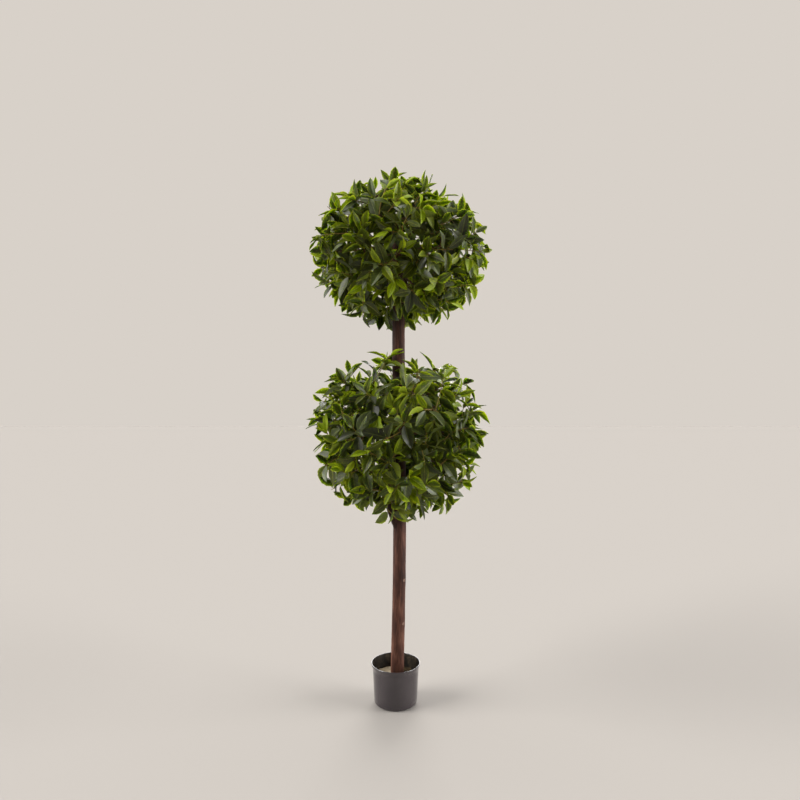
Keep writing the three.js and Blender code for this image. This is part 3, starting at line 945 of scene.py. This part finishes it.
class Ball:
    """One ball of leaves: its space, its heaps of stems and leaves, and its own stream of numbers."""

    def __init__(self, settings, trunk_line, forms, woods):
        self.settings = settings
        self.centre = np.array(settings["centre"])
        self.radii = np.array(settings["radii"])
        self.trunk_line = trunk_line
        self.rng = random.Random(settings["seed"])
        self.forms = forms
        name = settings["name"]
        self.stems = Heap(f"{name}_stems", woods)
        self.leaves = {}
        for kind in LEAF_COLOURS:
            materials = leaf_materials(kind, name, settings["painted_shade"])
            self.leaves[kind] = Heap(f"{name}_leaves_{kind}", materials)

    def width(self, up):
        """How much wider than an even ball this one is at a height from -1 to 1."""
        return 1 + self.settings["top_heavy"] * up

    def point(self, direction, share):
        """The place at a share of the way from the centre to the ball's outside."""
        offset = direction * self.radii * share
        offset[:2] *= self.width(direction[2] * share)
        return self.centre + offset

    def inside(self, point):
        offset = (point - self.centre) / self.radii
        offset[:2] /= self.width(offset[2])
        return np.linalg.norm(offset) < 1

    def near_trunk(self, direction):
        clear = math.cos(math.radians(TRUNK_CLEAR))
        return any(direction[2] * side > clear for side in self.settings["trunk_sides"])

    def bow(self, size):
        """A small step to any side."""
        return np.array([self.rng.uniform(-size, size) for _ in range(3)])

    def stem_line(self, kind, start, end):
        return stem_points(start, end, self.bow(STEMS[kind]["bow"]), STEMS[kind]["points"])

    def grow(self):
        """All stems and leaves, from the branches outwards."""
        spin = self.settings["spin"]
        branches = [self.grow_branch(d) for d in spread_directions(BRANCHES, spin)]
        twigs = [self.grow_twig(d, branches) for d in self.free_directions(TWIGS, spin)]
        for direction in self.free_directions(INNER_SHOOTS, spin + INNER_SPIN):
            self.grow_shoot(direction, INNER_SHARE, branches, True)
        for direction in self.free_directions(SHOOTS, spin + SHOOT_SPIN):
            self.grow_shoot(direction, SHOOT_SHARE, twigs, False)
        self.stems.build(self.settings["node"], "leaves")
        for heap in self.leaves.values():
            heap.build(self.settings["node"], "leaves")

    def free_directions(self, count, spin):
        """Directions spread over the ball, without those that the trunk fills."""
        return [d for d in spread_directions(count, spin) if not self.near_trunk(d)]

    def grow_branch(self, direction):
        """A stem from the trunk, or from the bough's tip on its side, out into the ball."""
        end = self.point(direction, BRANCH_SHARE)
        height = self.centre[2] + BRANCH_START * (end[2] - self.centre[2])
        start = self.trunk_line[np.argmin(np.abs(self.trunk_line[:, 2] - height))]
        tip = np.array(BOUGH_LINE[-1])
        if self.settings["name"] == "lower" and np.dot(unit(tip - self.centre), direction) > BOUGH_SECTOR:
            start = tip
        line = self.stem_line("branch", start, end)
        add_stem(self.stems, "branch", line)
        return {"end": end, "line": line, "forks": 0}

    def fork_from(self, stems, tip):
        """The stem nearest to a tip, and the next free place along it."""
        stem = min(stems, key=lambda one: np.linalg.norm(one["end"] - tip))
        share = 1 - FORK_STEP * (stem["forks"] % FORKS)
        stem["forks"] += 1
        at = share * (len(stem["line"]) - 1)
        low = int(min(at, len(stem["line"]) - 2))
        return stem["line"][low] * (low + 1 - at) + stem["line"][low + 1] * (at - low)

    def grow_twig(self, direction, branches):
        """A thinner stem from the nearest branch."""
        tip = self.point(direction, TWIG_SHARE)
        line = self.stem_line("twig", self.fork_from(branches, tip), tip)
        add_stem(self.stems, "twig", line)
        return {"end": tip, "line": line, "forks": 0}

    def grow_shoot(self, direction, share, stems, inner):
        """A fine shoot that ends in a spray of leaves."""
        reach = share + self.rng.uniform(-SHOOT_SPREAD, SHOOT_SPREAD)
        tip = self.point(direction, reach) + self.bow(SHOOT_SCATTER)
        if not clear_of_limbs([tip], self.trunk_line, SHOOT_CLEAR):
            return
        start = self.fork_from(stems, tip)
        if np.linalg.norm(tip - start) < SHOOT_LEAST:
            start = tip - unit(tip - self.centre) * SHOOT_LEAST
        line = self.stem_line("shoot", start, tip)
        if self.add_spray(line, unit(line[-1] - line[-2]), inner):
            add_stem(self.stems, "shoot", line)

    def add_spray(self, line, outward, inner):
        """Leaves in a spiral round the end of a shoot, broad and dark below, small and bright at its tip."""
        # Sprays on the inner shoots are all dark: painted shade inside the ball.
        mood = self.rng.choices(MOODS, MOOD_SHARES)[0] if not inner else "dark"
        first = self.rng.uniform(0, 360)
        count = SPRAY_LEAVES + self.rng.choice((-1, 0, 0, 1))
        placed = 0
        for k in range(count):
            share = k / (count - 1)
            root = line[-1] - outward * SPRAY_STEP * (count - 1 - k)
            kind = self.leaf_kind(mood, share)
            placed += self.add_leaf(root, outward, first + k * GOLDEN_TURN, share, kind)
        return placed > 1

    def leaf_kind(self, mood, share):
        """The colour of a leaf by its spray and its place in it."""
        inner, outer = MOOD_KINDS[mood]
        return self.rng.choice(outer if share > SPRAY_TIP else inner)

    def add_leaf(self, root, outward, turn, share, kind):
        """One leaf, turned further from its shoot at each try until it fits. Gives the number placed."""
        across = np.cross(UPWARD, outward)
        across = unit(across) if np.linalg.norm(across) > 0.1 else TO_THE_RIGHT
        over = np.cross(outward, across)
        length = LEAF_LENGTH * self.rng.uniform(*ANY_LENGTH) * lerp(*SPRAY_LENGTH, share)
        broad = self.rng.uniform(*ANY_WIDTH) * lerp(*SPRAY_WIDTH, share)
        splay = lerp(*SPRAY_SPLAY, share) + self.rng.uniform(-SPLAY_SPREAD, SPLAY_SPREAD)
        roll = self.rng.gauss(0, ROLL_SPREAD)
        stalk = self.rng.uniform(*STALK_LENGTH)
        points, faces, slots, veins = self.rng.choice(self.forms)
        for attempt in range(LEAF_TRIES):
            angles = turn + TRY_TURN * attempt, splay + TRY_SPLAY * attempt, roll
            heading, upper = leaf_axes(outward, across, over, *angles)
            side = np.cross(upper, heading)
            base = root + heading * stalk
            placed = points @ np.array((heading * length, side * length * broad, upper * length)) + base
            if self.fits(placed):
                self.leaves[kind].add(placed, faces, slots, veins)
                self.add_stalk(root, base + heading * STALK_INTO_LEAF, upper)
                return 1
        return 0

    def add_stalk(self, root, end, upper):
        """The stalk of a leaf, which sags a little below it."""
        stalk = STEMS["stalk"]
        add_stem(self.stems, "stalk", stem_points(root, end, -upper * stalk["bow"], stalk["points"]))

    def fits(self, points):
        """Whether a leaf keeps inside the ball and clear of the limbs."""
        return (
            self.inside(points[-1])
            and all(self.inside(p) for p in points[1::5])
            and clear_of_limbs(points[3:: 2 * LEAF_RING], self.trunk_line, LEAF_CLEAR)
        )


def leaf_axes(outward, across, over, turn, splay, roll):
    """A leaf's direction and the way its upper face looks, from its place round the shoot."""
    a, b = math.radians(turn), math.radians(splay)
    level = across * math.cos(a) + over * math.sin(a)
    heading = unit(outward * math.cos(b) + level * math.sin(b) - LEAF_DROOP * UPWARD)
    upper = FACE_ON * outward - FACE_IN * level + FACE_UP * UPWARD
    upper = unit(upper - heading * np.dot(upper, heading))
    side = np.cross(upper, heading)
    return heading, upper * math.cos(roll) + side * math.sin(roll)


def make_foliage(trunk_line):
    woods = [old_wood_material(), young_wood_material()]
    rng = random.Random(FORM_SEED)
    forms = [leaf_form(rng) for _ in range(LEAF_FORMS)]
    for settings in BALLS:
        Ball(settings, trunk_line, forms, woods).grow()


def make_floor():
    """A plain pale floor."""
    bpy.ops.mesh.primitive_plane_add(size=FLOOR_SIZE, location=(0, 0, 0))
    floor = bpy.context.object
    floor.name = "floor"
    material, _, _ = plain_material("pale_floor", FLOOR_COLOUR, 1.0, 0.0)
    floor.data.materials.append(material)


add_camera()
add_studio()
make_floor()
make_pot()
make_plaster()
trunk_line = make_trunk()
make_bough()
make_foliage(trunk_line)
